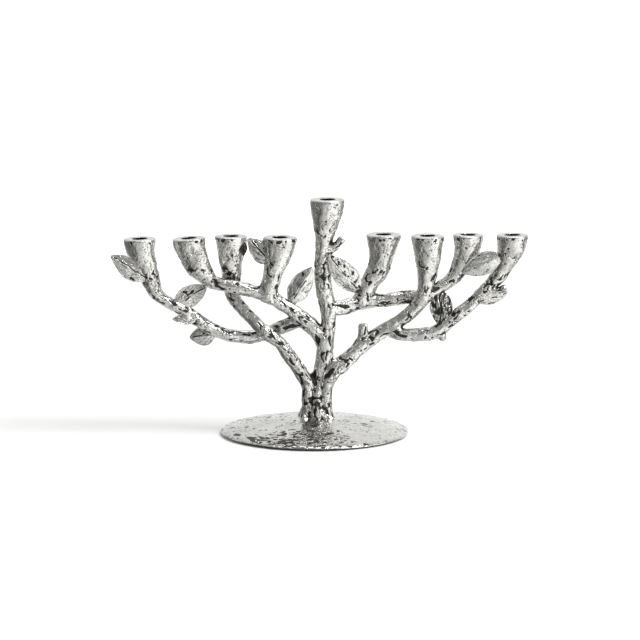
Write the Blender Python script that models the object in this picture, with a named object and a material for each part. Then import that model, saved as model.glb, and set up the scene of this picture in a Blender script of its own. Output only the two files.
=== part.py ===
"""A nine-light menorah: olive branches cast in metal, rising from a trunk on a low round base.

The castings are separate. Each branch is coped to fit its parent and located by a spigot in a blind socket, each
candle cup sits on the end or on the back of a branch in the same way, and the leaves are coped onto the castings
that carry them. One screw from below holds the trunk to the base, and a felt disc closes the underside.

Sizes are in millimetres. X runs to the right, Y away from the front, Z up, and the origin is the middle of the
felt's lower face. Limbs are lists of stations (x, y, z, radius), and a smooth curve runs through them.
"""

import math

import bmesh
import bpy
from mathutils import Matrix, Vector

MM = 0.001

# Driving dimensions
GAP = 0.3  # between pieces that touch
BASE_RADIUS = 80.0
BASE_EDGE = 1.8  # thickness of the plate at its rim
BASE_SEAT_RADIUS = 18.0  # the flat that the trunk stands on
BASE_SEAT_Z = 14.2
FELT_RADIUS = 77.0
FELT_THICKNESS = 0.8
CANDLE_RADIUS = 6.5  # a 12.7 mm candle with clearance
CANDLE_DEPTH = 13.0
RIM_Z = 169.5  # the eight candles stand level
SHAMASH_Z = 201.5  # the serving candle stands higher
SCREW_RADIUS = 3.0
SCREW_TIP_Z = 31.0
SPIGOT_RADIUS = 2.2
LEAF_THICKNESS = 1.6

LIMB_SIDES = 12
CUP_SIDES = 16
BORE_SIDES = 20
BASE_SIDES = 44

# The trunk and its branches
TRUNK = [
    (2, 0, BASE_SEAT_Z + GAP, 16.5), (2, 0, 18.5, 13.8), (2, 0, 26, 12.8), (1.5, 0, 36, 12.3), (3, 0, 48, 10.3),
    (7.5, 0, 61.5, 7.3), (9.5, 0, 74, 6.8), (11.5, 0, 90, 6.1), (11.5, 0, 104, 6.1), (9.5, 0, 117, 6.5),
    (7.5, 0, 132, 6.8), (6.5, 0, 145, 6.3), (7, 0, 156, 6.2),
]
TRUNK_TWIG = [(8, 0, 153, 3.4), (14.5, -1, 158.5, 3), (19, -2, 163, 2.8), (23.5, -2, 168, 3)]

LEFT_LOW = [
    (0, -2, 39, 6.3), (-9.5, -5, 50, 6), (-19.5, -7, 64.5, 5.2), (-29, -7, 78, 5.2), (-40, -6.5, 87.5, 5.4),
    (-51, -2, 97.5, 5), (-61, 3, 107, 4.8), (-67.5, 6.5, 116, 5.4), (-70.5, 8, 124, 6),
]
LEFT_HIGH = [
    (10, 0, 74, 6), (4, 0, 84, 6), (-2.5, -1, 92, 6.3), (-10, -2, 99.5, 6), (-18.5, -3, 107, 5.5),
    (-29, -4, 113.5, 5.3), (-39, -5, 119.5, 5.5), (-54.5, -6, 124.5, 5.5), (-69, -6, 128, 5.5),
    (-81, -4, 130.5, 5.5), (-87.5, -3, 132.5, 5.8),
]
LEFT_OUTER = [
    (-9.5, -1, 100, 5), (-20.5, 2, 94.5, 5.3), (-28.5, 4.5, 91, 5.2), (-39.5, 6, 86.5, 5), (-53, 6, 83, 5),
    (-65.5, 4.5, 83.5, 5), (-78.5, 3, 86.5, 5), (-90.5, 2, 93, 5.1), (-102.5, 1, 101, 5.1), (-114.5, 0, 109, 5),
    (-126.5, 0, 115.5, 4.8), (-135, 0, 123, 5.6),
]
RIGHT_LOW = [
    (5, -1, 42.5, 7.3), (15.5, -4, 54.5, 7), (23, -5, 60.5, 6.6), (31, -5, 67, 6.1), (40, -4, 75, 6),
    (52.5, -3, 84.5, 5.7), (61.5, -2, 89.5, 5.6), (71, -1, 95.5, 5.4), (79.5, -1, 101.5, 5.4),
    (87, 0, 108.5, 5.6), (91.5, 0, 115.5, 5.9), (93.5, 0, 121.5, 6.3), (94.8, 0, 127.5, 7),
]
RIGHT_LOW_TWIG = [(39.5, -4, 75, 4), (41, -4, 84, 3.8), (41.5, -4, 93.5, 4)]
RIGHT_HIGH = [
    (11.5, 1, 106.5, 5.6), (19.5, 3, 107.5, 6), (27, 5, 108, 6), (36.5, 8, 110, 6), (47, 10, 111.5, 5.9),
    (60.5, 10, 112.5, 5.4), (71, 10, 114, 5.4), (81, 8.5, 115, 5.5), (90, 5, 115.5, 5),
]
RIGHT_OUTER = [
    (62, -2, 89, 4.6), (71.5, -4, 86, 5.1), (82, -5, 85, 5.2), (92, -5, 85, 5.2), (100.5, -5, 86.5, 5.2),
    (108, -5, 91, 5.3), (116, -4, 97.5, 5.1), (123.5, -4, 103.5, 4.9), (131.5, -3, 109, 4.7),
    (138, -2, 114.5, 4.7), (145, -1, 121, 4.9), (150.5, 0, 126.5, 5.4), (154.5, 0, 132, 6),
]
RIGHT_OUTER_TWIG = [(143, -1, 117, 3.2), (153, -3, 120, 3.2), (162.5, -4, 124, 3)]
RIGHT_INNER = [(92, 0, 114.5, 5), (100.5, 2, 120.5, 5.4), (108, 3, 124.5, 5.5), (114.5, 3, 128.5, 5.6), (120, 3, 134, 6.3)]

# The cups, from the joint with the branch up to the rim
CUPS = {
    "candle_cup_1": [
        (-135, 0, 123, 5.6), (-137, 0, 128.5, 6.8), (-139.5, 0, 135, 7.9), (-141.5, 0, 142.5, 8),
        (-143.5, 0, 149.5, 8.8), (-146.5, 0, 156.5, 11), (-147.8, 0, 162.5, 12.6), (-148.3, 0, RIM_Z, 13.7),
    ],
    "candle_cup_2": [
        (-87.5, -3, 132.5, 5.8), (-93, -2.5, 137.5, 7.6), (-97.8, -2, 144, 9.7), (-101.5, -1, 151.5, 11),
        (-104.5, 0, 159.5, 12.2), (-106.8, 0, RIM_Z, 13.8),
    ],
    "candle_cup_3": [
        (-70.5, 8, 124, 6), (-70.5, 9, 130, 7.4), (-70.5, 9, 137, 8), (-70.5, 9, 147, 9.5), (-70.5, 9, 157.5, 11.9),
        (-70.5, 9, RIM_Z, 13.8),
    ],
    "candle_cup_4": [
        (-39, -5, 120, 6), (-39, -5, 128, 6.9), (-36.5, -4, 136, 7.1), (-34.5, -3, 143.5, 8), (-32, -2, 151, 10),
        (-30.5, -1, 159.5, 12.1), (-29.5, 0, RIM_Z, 14),
    ],
    "candle_cup_5": [
        (40.5, 9, 112, 6.6), (44, 9.5, 121.5, 7.4), (48.5, 10, 129, 7.6), (53, 10, 135.5, 8.6), (56, 10, 142, 9.4),
        (57.5, 10, 149.5, 10), (58.5, 10, 157.5, 11.6), (59.5, 10, RIM_Z, 14.8),
    ],
    "candle_cup_6": [
        (94.8, 0, 127.5, 7), (95.7, 0, 134, 7.8), (96.2, 0, 140, 8.6), (96.2, 0, 148.5, 10.3), (96.4, 0, 157, 11.9),
        (96.2, 0, RIM_Z, 14),
    ],
    "candle_cup_7": [
        (120, 3, 134, 6.3), (124.5, 3, 141.5, 7.6), (128.5, 3, 149.5, 9.5), (130, 3, 158, 11), (131, 3, RIM_Z, 13.2),
    ],
    "candle_cup_8": [
        (154.5, 0, 132, 6), (159, 0, 138.5, 6.9), (163, 0, 146, 7.9), (166, 0, 153, 10), (167.5, 0, 160, 12),
        (168.5, 0, RIM_Z, 13.7),
    ],
    "shamash_cup": [
        (7, 0, 156, 6.2), (8, 0, 166, 7.4), (9, 0, 175, 9.4), (10, 0, 184, 11.4), (10.5, 0, 192.5, 13.3),
        (11, 0, SHAMASH_Z, 14.6),
    ],
}

# Leaves: base on the casting, tip, width, the way the blade faces, and how far it bows along its length
LEAVES = {
    "leaf_cup_1": ((-141, -5, 135), (-173, -6, 156), 19, (0.15, -1, 0.1), 2),
    "leaf_left_arch": ((-119.5, -3.5, 110), (-92, -9, 129.5), 19, (-0.25, -1, -0.2), -3),
    "leaf_left_bud": ((-100, -3, 100), (-121, -6, 101), 10, (0, -1, 0.5), 1),
    "leaf_left_low": ((-84, 4, 86), (-106, 6, 83), 17, (0, -1, 0.1), 2),
    "leaf_cup_3": ((-61, 2, 166), (-60.5, -2, 154), 7, (0.2, -1, -0.3), 0.5),
    "leaf_cup_4": ((-36, -3, 147.5), (-56.5, 0, 168.5), 18.5, (0.1, -1, -0.1), 1),
    "leaf_left_trunk": ((-21, -5, 112.5), (-2.5, -6, 144.5), 19, (-0.25, -1, 0), 2),
    "leaf_right_trunk": ((38, 2, 121.5), (11.5, -9, 155), 21, (0.1, -1, 0.1), 2),
    "leaf_cup_7": ((123, -5, 137), (158, -11, 153.5), 20.5, (-0.1, -1, 0.15), 3),
    "leaf_right_outer": ((138, -5, 113), (165, -8, 120.5), 12, (0.1, -1, 0.1), 1.5),
    "leaf_right_hanging": ((107, 0, 121), (104.5, -9, 93.5), 17, (-0.1, -1, -0.35), 1),
}

# Which casting each leaf is coped onto, and which others its blade lies against
LEAF_SEATS = {
    "leaf_cup_1": ["candle_cup_1"],
    "leaf_left_arch": ["left_outer_branch", "left_high_branch"],
    "leaf_left_bud": ["left_outer_branch"],
    "leaf_left_low": ["left_outer_branch"],
    "leaf_cup_3": ["candle_cup_3"],
    "leaf_cup_4": ["candle_cup_4", "candle_cup_3"],
    "leaf_left_trunk": ["left_high_branch", "trunk"],
    "leaf_right_trunk": ["candle_cup_5", "trunk"],
    "leaf_cup_7": ["candle_cup_7", "candle_cup_8", "right_inner_branch"],
    "leaf_right_outer": ["right_outer_branch"],
    "leaf_right_hanging": ["right_inner_branch", "right_outer_branch"],
}


def metal(name, colour, roughness, metallic=1.0):
    """A Principled material of one colour."""
    material = bpy.data.materials.new(name)
    material.use_nodes = True
    shader = material.node_tree.nodes["Principled BSDF"]
    shader.inputs["Base Color"].default_value = (*colour, 1)
    shader.inputs["Roughness"].default_value = roughness
    shader.inputs["Metallic"].default_value = metallic
    return material


def add_object(name, mesh, material=None, helper=False):
    """Links a mesh as an object. A helper is a cutter or a shape that a Boolean joins to a piece."""
    obj = bpy.data.objects.new(name, mesh)
    bpy.context.scene.collection.objects.link(obj)
    if material:
        mesh.materials.append(material)
    if helper:
        obj.hide_render = True
        obj.display_type = "WIRE"
    else:
        mesh.shade_smooth()
        mesh.set_sharp_from_angle(angle=math.radians(40))
    return obj


def smooth_path(stations, pieces=2):
    """Points and radii along the Catmull-Rom curve through the stations, with so many pieces to a span."""
    knots = [Vector(s[:3]).to_4d() for s in stations]
    for knot, station in zip(knots, stations):
        knot.w = station[3]
    knots = [2 * knots[0] - knots[1], *knots, 2 * knots[-1] - knots[-2]]
    path = []
    for before, start, end, after in zip(knots, knots[1:], knots[2:], knots[3:]):
        for step in range(pieces):
            t = step / pieces
            path.append(0.5 * (
                2 * start
                + (end - before) * t
                + (2 * before - 5 * start + 4 * end - after) * t**2
                + (3 * start - before - 3 * end + after) * t**3
            ))
    path.append(knots[-2])
    return [(point.xyz, point.w) for point in path]


def directions(points, first=None, last=None):
    """The unit tangent at each point of a path. The ends can be given."""
    tangents = []
    for i in range(len(points)):
        ahead = points[min(i + 1, len(points) - 1)]
        behind = points[max(i - 1, 0)]
        tangents.append((ahead - behind).normalized())
    tangents[0] = first or tangents[0]
    tangents[-1] = last or tangents[-1]
    return tangents


def loft(path, tangents, sides, grow=0.0):
    """A closed tube through the path's circles, with flat ends. grow is added to every radius."""
    bm = bmesh.new()
    across = tangents[0].orthogonal().normalized()
    rings = []
    for (centre, radius), tangent in zip(path, tangents):
        across = (across - across.dot(tangent) * tangent).normalized()
        up = tangent.cross(across)
        ring = []
        for side in range(sides):
            angle = 2 * math.pi * side / sides
            offset = across * math.cos(angle) + up * math.sin(angle)
            ring.append(bm.verts.new((centre + offset * (radius + grow)) * MM))
        rings.append(ring)
    for lower, upper in zip(rings, rings[1:]):
        for side in range(sides):
            after = (side + 1) % sides
            bm.faces.new((lower[side], lower[after], upper[after], upper[side]))
    bm.faces.new(reversed(rings[0]))
    bm.faces.new(rings[-1])
    return to_mesh(bm)


def to_mesh(bm):
    """The bmesh as a mesh of triangles with its normals outward."""
    bmesh.ops.recalc_face_normals(bm, faces=bm.faces)
    bmesh.ops.triangulate(bm, faces=bm.faces)
    mesh = bpy.data.meshes.new("part")
    bm.to_mesh(mesh)
    bm.free()
    return mesh


SHAPES = {}  # name: the path, the tangents and the sides of each tube, for the pieces that are coped to it


def tube(name, path, tangents, sides, material=None):
    """A tube as a piece of its own, or a helper when it has no material."""
    SHAPES[name] = (path, tangents, sides)
    return add_object(name, loft(path, tangents, sides), material, helper=material is None)


def limb(name, stations, material=None, sides=LIMB_SIDES, last=None):
    """A tapering tube through the stations."""
    path = smooth_path(stations)
    tangents = directions([point for point, _ in path], last=last)
    return tube(name, path, tangents, sides, material)


def split_limb(lower_name, upper_name, lower, upper, material, last=None):
    """A branch and the cup on its end: one curve, parted square across at the station that they share."""
    path = smooth_path(lower + upper[1:])
    tangents = directions([point for point, _ in path], last=last)
    at = 2 * (len(lower) - 1)
    half = tangents[at] * GAP / 2
    point, radius = path[at]
    below = [*path[:at], (point - half, radius)]
    above = [(point + half, radius), *path[at + 1:]]
    branch = tube(lower_name, below, tangents[:at + 1], LIMB_SIDES, material)
    cup = tube(upper_name, above, tangents[at:], CUP_SIDES, material)
    spigot(branch, cup, point, tangents[at])
    return branch, cup


def cylinder(name, radius, start, end, sides=BORE_SIDES):
    """A round helper from start to end."""
    start, end = Vector(start), Vector(end)
    bm = bmesh.new()
    turn = (end - start).to_track_quat("Z", "Y").to_matrix().to_4x4()
    place = Matrix.Translation((start + end) / 2 * MM) @ turn
    bmesh.ops.create_cone(
        bm, cap_ends=True, segments=sides, radius1=radius * MM, radius2=radius * MM,
        depth=(end - start).length * MM, matrix=place,
    )
    return add_object(name, to_mesh(bm), helper=True)


def combine(obj, other, operation):
    """Joins a helper to a piece, or cuts it away, with a Boolean modifier."""
    modifier = obj.modifiers.new(other.name, "BOOLEAN")
    modifier.operation = operation
    modifier.object = other
    modifier.solver = "EXACT"


def spigot(piece, parent, centre, direction, inside=4.5, outside=5.5):
    """A round spigot on a piece, and the blind socket for it in the parent, inside deep.

    The direction runs from the piece into the parent.
    """
    centre = Vector(centre)
    back = centre - direction * outside
    peg = cylinder(f"{piece.name}_spigot", SPIGOT_RADIUS, back, centre + direction * inside, 12)
    hole_end = centre + direction * (inside + GAP)
    hole = cylinder(f"{piece.name}_socket", SPIGOT_RADIUS + GAP, back, hole_end, 12)
    combine(piece, peg, "UNION")
    combine(parent, hole, "DIFFERENCE")


def cope(piece, parent_name):
    """Cuts a piece to fit round a tube, leaving the gap between them."""
    path, tangents, sides = SHAPES[parent_name]
    reach = GAP * 0.95
    first = (path[0][0] - tangents[0] * reach, path[0][1])
    last = (path[-1][0] + tangents[-1] * reach, path[-1][1])
    mesh = loft([first, *path[1:-1], last], tangents, sides, grow=GAP * 1.3)
    cutter = add_object(f"{piece.name}_cope_{parent_name}", mesh, helper=True)
    combine(piece, cutter, "DIFFERENCE")


def seat_on(piece, stations, parent, depth):
    """A spigot where a coped limb leaves its parent, depth along the limb from its start."""
    path = [point for point, _ in smooth_path(stations, 8)]
    walked = 0.0
    for here, there in zip(path, path[1:]):
        walked += (there - here).length
        if walked >= depth:
            spigot(piece, parent, there, (here - there).normalized(), inside=depth * 0.5, outside=4.5)
            return


def turned(name, profile, material, sides=BASE_SIDES):
    """A solid of revolution about the Z axis, from an outline of (radius, z) that starts and ends on the axis."""
    bm = bmesh.new()
    rings = []
    for radius, z in profile:
        if radius == 0:
            rings.append([bm.verts.new((0, 0, z * MM))])
            continue
        angles = [2 * math.pi * side / sides for side in range(sides)]
        rings.append([bm.verts.new((radius * math.cos(a) * MM, radius * math.sin(a) * MM, z * MM)) for a in angles])
    for lower, upper in zip(rings, rings[1:]):
        for side in range(sides):
            after = (side + 1) % sides
            if len(lower) == 1:
                bm.faces.new((lower[0], upper[side], upper[after]))
            elif len(upper) == 1:
                bm.faces.new((lower[side], lower[after], upper[0]))
            else:
                bm.faces.new((lower[side], lower[after], upper[after], upper[side]))
    return add_object(name, to_mesh(bm), material)


def base_top(radius):
    """Height of the plate's upper face: a low cone that rounds over towards the rim."""
    rim_z = FELT_THICKNESS + GAP + BASE_EDGE
    if radius <= BASE_SEAT_RADIUS:
        return BASE_SEAT_Z
    out = (radius - BASE_SEAT_RADIUS) / (BASE_RADIUS - BASE_SEAT_RADIUS)
    return rim_z + (BASE_SEAT_Z - rim_z) * (1 - out**1.25)


def make_base(metal_finish, felt, steel):
    """The hollow plate, the felt under it, and the screw and washer that draw the trunk down."""
    under = FELT_THICKNESS + GAP
    wall = 3.0
    boss_radius = 12.0
    boss_z = 7.5
    flat_ring = 62.0
    outside = [BASE_SEAT_RADIUS + (BASE_RADIUS - BASE_SEAT_RADIUS) * i / 5 for i in range(6)]
    hollow = [flat_ring - (flat_ring - boss_radius) * i / 3 for i in range(4)]
    profile = [(0, boss_z), (boss_radius, boss_z)]
    profile += [(r, max(base_top(r) - wall, under + 1.5)) for r in reversed(hollow)]
    profile += [(flat_ring + 1, under), (BASE_RADIUS - 0.4, under), (BASE_RADIUS, under + 0.4)]
    profile += [(BASE_RADIUS, base_top(BASE_RADIUS) - 0.4), (BASE_RADIUS - 0.6, base_top(BASE_RADIUS) + 0.05)]
    profile += [(r, base_top(r)) for r in reversed(outside[:-1])]
    profile += [(0, BASE_SEAT_Z)]
    plate = turned("base_plate", profile, metal_finish)
    hole = cylinder("base_plate_hole", SCREW_RADIUS + GAP, (0, 0, boss_z - 5), (0, 0, BASE_SEAT_Z + 5))
    combine(plate, hole, "DIFFERENCE")

    turned("felt_disc", [(0, 0), (FELT_RADIUS, 0), (FELT_RADIUS, FELT_THICKNESS), (0, FELT_THICKNESS)], felt)

    washer_top = boss_z - GAP
    washer_thick = 1.2
    washer = turned(
        "screw_washer",
        [(0, washer_top - washer_thick), (8, washer_top - washer_thick), (8, washer_top), (0, washer_top)],
        steel, 24,
    )
    hole = cylinder("screw_washer_hole", SCREW_RADIUS + GAP, (0, 0, 1), (0, 0, 12))
    combine(washer, hole, "DIFFERENCE")

    head_top = washer_top - washer_thick - GAP
    head_bottom = head_top - 3.8
    screw = turned(
        "base_screw",
        [(0, head_bottom), (5, head_bottom), (5.5, head_bottom + 0.5), (5.5, head_top), (SCREW_RADIUS, head_top),
         (SCREW_RADIUS, SCREW_TIP_Z - 1), (SCREW_RADIUS - 1, SCREW_TIP_Z), (0, SCREW_TIP_Z)],
        steel, 16,
    )
    socket = cylinder("base_screw_key", 2.6, (0, 0, head_bottom - 2), (0, 0, head_bottom + 2.2), 6)
    combine(screw, socket, "DIFFERENCE")


def bore(cup, stations):
    """The round socket for a candle, straight down from the middle of the rim."""
    x, y, z, _ = stations[-1]
    cutter = cylinder(f"{cup.name}_bore", CANDLE_RADIUS, (x, y, z - CANDLE_DEPTH), (x, y, z + 10))
    combine(cup, cutter, "DIFFERENCE")


def leaf_width(along):
    """Half the blade's width, as a share of its widest, from the stalk at 0 to the tip at 1."""
    blade = math.sin(math.pi * min(1.0, along * 0.96 + 0.02) ** 0.86)
    return max(0.14 if along < 0.5 else 0.07, blade)


def leaf(name, base, tip, width, facing, bow, material):
    """A thin olive leaf, dished across and bowed along its length."""
    base, tip = Vector(base), Vector(tip)
    along = (tip - base).normalized()
    normal = Vector(facing)
    normal = (normal - normal.dot(along) * along).normalized()
    across = along.cross(normal)
    rows, columns = 8, 4
    bm = bmesh.new()
    sheets = []
    for side in (0.5, -0.5):
        sheet = []
        for row in range(rows + 1):
            t = row / rows
            middle = base.lerp(tip, t) + normal * bow * math.sin(math.pi * t)
            half = leaf_width(t) * width / 2
            for column in range(columns + 1):
                s = 2 * column / columns - 1
                dish = 0.12 * width * s * s * leaf_width(t)
                thin = LEAF_THICKNESS * side * (1 - 0.45 * abs(s))
                sheet.append(bm.verts.new((middle + across * half * s + normal * (dish + thin)) * MM))
        sheets.append(sheet)
    front, back = sheets
    wide = columns + 1
    for row in range(rows):
        for column in range(columns):
            a = row * wide + column
            bm.faces.new((front[a], front[a + 1], front[a + wide + 1], front[a + wide]))
            bm.faces.new((back[a], back[a + wide], back[a + wide + 1], back[a + 1]))
        for edge in (0, columns):
            a = row * wide + edge
            bm.faces.new((front[a], front[a + wide], back[a + wide], back[a]))
    for row in (0, rows):
        for column in range(columns):
            a = row * wide + column
            bm.faces.new((front[a], front[a + 1], back[a + 1], back[a]))
    return add_object(name, to_mesh(bm), material)


def make_castings(finish):
    """The trunk, the branches and the cups, with their joints."""
    up = Vector((0, 0, 1))
    ended = {
        "trunk": (TRUNK, "shamash_cup"),
        "left_low_branch": (LEFT_LOW, "candle_cup_3"),
        "left_high_branch": (LEFT_HIGH, "candle_cup_2"),
        "left_outer_branch": (LEFT_OUTER, "candle_cup_1"),
        "right_low_branch": (RIGHT_LOW, "candle_cup_6"),
        "right_outer_branch": (RIGHT_OUTER, "candle_cup_8"),
        "right_inner_branch": (RIGHT_INNER, "candle_cup_7"),
    }
    made = {}
    for branch_name, (line, cup_name) in ended.items():
        branch, cup = split_limb(branch_name, cup_name, line, CUPS[cup_name], finish, up)
        made[branch_name], made[cup_name] = branch, cup
    made["right_high_branch"] = limb("right_high_branch", RIGHT_HIGH, finish)
    for cup_name in ("candle_cup_4", "candle_cup_5"):
        made[cup_name] = limb(cup_name, CUPS[cup_name], finish, CUP_SIDES, last=up)
    for cup_name, line in CUPS.items():
        bore(made[cup_name], line)

    combine(made["trunk"], limb("trunk_twig", TRUNK_TWIG, sides=8), "UNION")
    cope(made["trunk"], "shamash_cup")
    screw_hole = cylinder("trunk_screw_hole", SCREW_RADIUS + GAP, (0, 0, 0), (0, 0, SCREW_TIP_Z + 2))
    combine(made["trunk"], screw_hole, "DIFFERENCE")
    combine(made["right_low_branch"], limb("right_low_twig", RIGHT_LOW_TWIG, sides=8), "UNION")
    combine(made["right_outer_branch"], limb("right_outer_twig", RIGHT_OUTER_TWIG, sides=8), "UNION")

    # Each coped piece, its line, its parents, and how far along it the first parent's surface is
    coped = {
        "left_low_branch": (LEFT_LOW, ["trunk"], 13),
        "left_high_branch": (LEFT_HIGH, ["trunk"], 13),
        "left_outer_branch": (LEFT_OUTER, ["left_high_branch"], 7),
        "right_low_branch": (RIGHT_LOW, ["trunk"], 15),
        "right_high_branch": (RIGHT_HIGH, ["trunk", "right_low_branch"], 7),
        "right_outer_branch": (RIGHT_OUTER, ["right_low_branch"], 8),
        "right_inner_branch": (RIGHT_INNER, ["right_low_branch", "candle_cup_6"], 8),
        "candle_cup_4": (CUPS["candle_cup_4"], ["left_high_branch"], 6),
        "candle_cup_5": (CUPS["candle_cup_5"], ["right_high_branch"], 6),
    }
    for name, (line, parents, depth) in coped.items():
        for parent in parents:
            cope(made[name], parent)
        seat_on(made[name], line, made[parents[0]], depth)


def main():
    for obj in list(bpy.data.objects):
        bpy.data.objects.remove(obj)
    nickel = metal("polished_nickel", (0.66, 0.65, 0.62), 0.22)
    steel = metal("zinc_plated_steel", (0.55, 0.55, 0.53), 0.4)
    felt = metal("black_felt", (0.02, 0.02, 0.022), 0.95, metallic=0.0)
    make_base(nickel, felt, steel)
    make_castings(nickel)
    for name, (base, tip, width, facing, bow) in LEAVES.items():
        blade = leaf(name, base, tip, width, facing, bow, nickel)
        for parent in LEAF_SEATS[name]:
            cope(blade, parent)


main()
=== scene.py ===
"""The looks of the olive branch menorah: cast and polished nickel, dark where the polishing wheel didn't reach.

The castings are one smooth union of tapering tubes, sampled on a grid and turned into one mesh. Its points are then
moved to give it tool marks, bark, pits and creases, and it is divided into one closed piece for each CAD node. The
leaves and the hammered plate are built as sheets. Lengths are in millimetres until a mesh is made. Some of the dark
is painted shade and a painted reflection: on the trunk's front root, on leaves in shadow, partly on one half of some
leaves, along the plate's rim at the left and front, and as the trunk's reflection on the plate.
"""

import math

import bpy
import numpy as np
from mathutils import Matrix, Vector


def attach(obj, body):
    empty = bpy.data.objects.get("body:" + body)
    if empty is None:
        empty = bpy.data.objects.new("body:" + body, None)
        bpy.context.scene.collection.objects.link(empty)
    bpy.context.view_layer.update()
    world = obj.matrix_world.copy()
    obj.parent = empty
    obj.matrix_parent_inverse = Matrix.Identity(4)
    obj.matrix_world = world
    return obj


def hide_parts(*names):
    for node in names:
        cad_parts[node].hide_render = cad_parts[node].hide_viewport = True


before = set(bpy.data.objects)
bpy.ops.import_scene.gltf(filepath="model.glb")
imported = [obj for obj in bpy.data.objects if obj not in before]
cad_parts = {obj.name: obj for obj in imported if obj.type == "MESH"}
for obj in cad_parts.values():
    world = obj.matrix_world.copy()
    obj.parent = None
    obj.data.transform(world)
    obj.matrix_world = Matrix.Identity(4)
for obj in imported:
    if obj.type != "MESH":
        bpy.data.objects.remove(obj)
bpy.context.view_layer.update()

MM = 0.001
GRID = 0.5  # the grid that the castings are sampled on
BAND = 4.0  # how far out from the surface the field is worked out

LEAST_FILLET = 0.8  # the fillet's width away from the joints
FILLET_REACH = 14.0  # how far a joint's wider fillet carries

BASE_RADIUS = 80.0
BASE_SEAT_RADIUS = 18.0
BASE_SEAT_Z = 14.2
BASE_RIM_Z = 2.9
BASE_UNDER_Z = 1.1
HUB_Z = 8.0  # the flat in the plate's hollow underside
CANDLE_RADIUS = 6.5
CANDLE_DEPTH = 13.0
RIM_Z = 169.5
SHAMASH_Z = 201.5
FOOT_Z = BASE_SEAT_Z - 0.9  # the trunk's foot, sunk a little into the plate
CASTING_BOX = ((-166, -22, 12), (186, 28, 205))
GROWTH_START, CUP_START = 40, 170  # added to the length along, so that marks don't match the branch's
PATCH_LEAST = 1000  # how many quads a patch of a piece needs to be kept

# The skeleton: each line's stations are (x, y, z, radius)
TRUNK = [
    (2, 1, 14.5, 13), (2, 1, 17.5, 10), (2, 1.5, 22, 8), (2, 2, 28, 7), (2.5, 2.5, 36, 6.6), (4.5, 1.5, 48, 7.2),
    (7.5, 0, 61.5, 7.3), (9.5, 0, 74, 6.8), (11.5, 0, 90, 6.1), (11.5, 0, 104, 6.1), (9.5, 0, 117, 6.5),
    (7.5, 0, 132, 6.8), (6.5, 0, 145, 6.3), (7, 0, 156, 6.2),
]
LEFT_LOW = [
    (-4.5, -3.5, 40, 5.2), (-9.5, -5, 50, 5.7), (-19.5, -7, 64.5, 5.2), (-29, -7, 78, 5.2), (-40, -6.5, 87.5, 5.4),
    (-51, -2, 97.5, 5), (-61, 3, 107, 4.8), (-67.5, 6.5, 116, 5.4), (-70.5, 8, 124, 6),
]
LEFT_HIGH = [
    (10, 0, 74, 6), (4, 0, 84, 6), (-2.5, -1, 92, 6.3), (-10, -2, 99.5, 6), (-18.5, -3, 107, 5.5),
    (-29, -4, 113.5, 5.3), (-39, -5, 119.5, 5.5), (-54.5, -6, 124.5, 5.5), (-69, -6, 128, 5.5),
    (-81, -4, 130.5, 5.5), (-87.5, -3, 132.5, 5.8),
]
LEFT_OUTER = [
    (-9.5, -1, 100, 5), (-20.5, 2, 94.5, 5.3), (-28.5, 4.5, 91, 5.2), (-39.5, 6, 86.5, 5), (-53, 6, 83, 5),
    (-65.5, 4.5, 83.5, 5), (-78.5, 3, 86.5, 5), (-90.5, 2, 93, 5.1), (-102.5, 1, 101, 5.1), (-114.5, 0, 109, 5),
    (-126.5, 0, 115.5, 4.8), (-135, 0, 123, 5.6),
]
RIGHT_LOW = [
    (10, -2.5, 41.5, 5.4), (15.5, -4, 54.5, 6.8), (23, -5, 60.5, 6.6), (31, -5, 67, 6.1), (40, -4, 75, 6),
    (52.5, -3, 84.5, 5.7), (61.5, -2, 89.5, 5.6), (71, -1, 95.5, 5.4), (79.5, -1, 101.5, 5.4),
    (87, 0, 108.5, 5.6), (91.5, 0, 115.5, 5.9), (93.5, 0, 121.5, 6.3), (94.8, 0, 127.5, 7),
]
RIGHT_HIGH = [
    (11.5, 1, 106.5, 5.6), (19.5, 3, 107.5, 6), (27, 5, 108, 6), (36.5, 8, 110, 6), (47, 10, 111.5, 5.9),
    (60.5, 10, 112.5, 5.4), (71, 10, 114, 5.4), (81, 8.5, 115, 5.5), (90, 5, 115.5, 5),
]
RIGHT_OUTER = [
    (62, -2, 89, 4.6), (71.5, -4, 86, 5.1), (82, -5, 85, 5.2), (92, -5, 85, 5.2), (100.5, -5, 86.5, 5.2),
    (108, -5, 91, 5.3), (116, -4, 97.5, 5.1), (123.5, -4, 103.5, 4.9), (131.5, -3, 109, 4.7),
    (138, -2, 114.5, 4.7), (145, -1, 121, 4.9), (150.5, 0, 126.5, 5.4), (154.5, 0, 132, 6),
]
RIGHT_INNER = [
    (92, 0, 114.5, 5), (100.5, 2, 120.5, 5.4), (108, 3, 124.5, 5.5), (114.5, 3, 128.5, 5.6), (120, 3, 134, 6.3),
]

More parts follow.
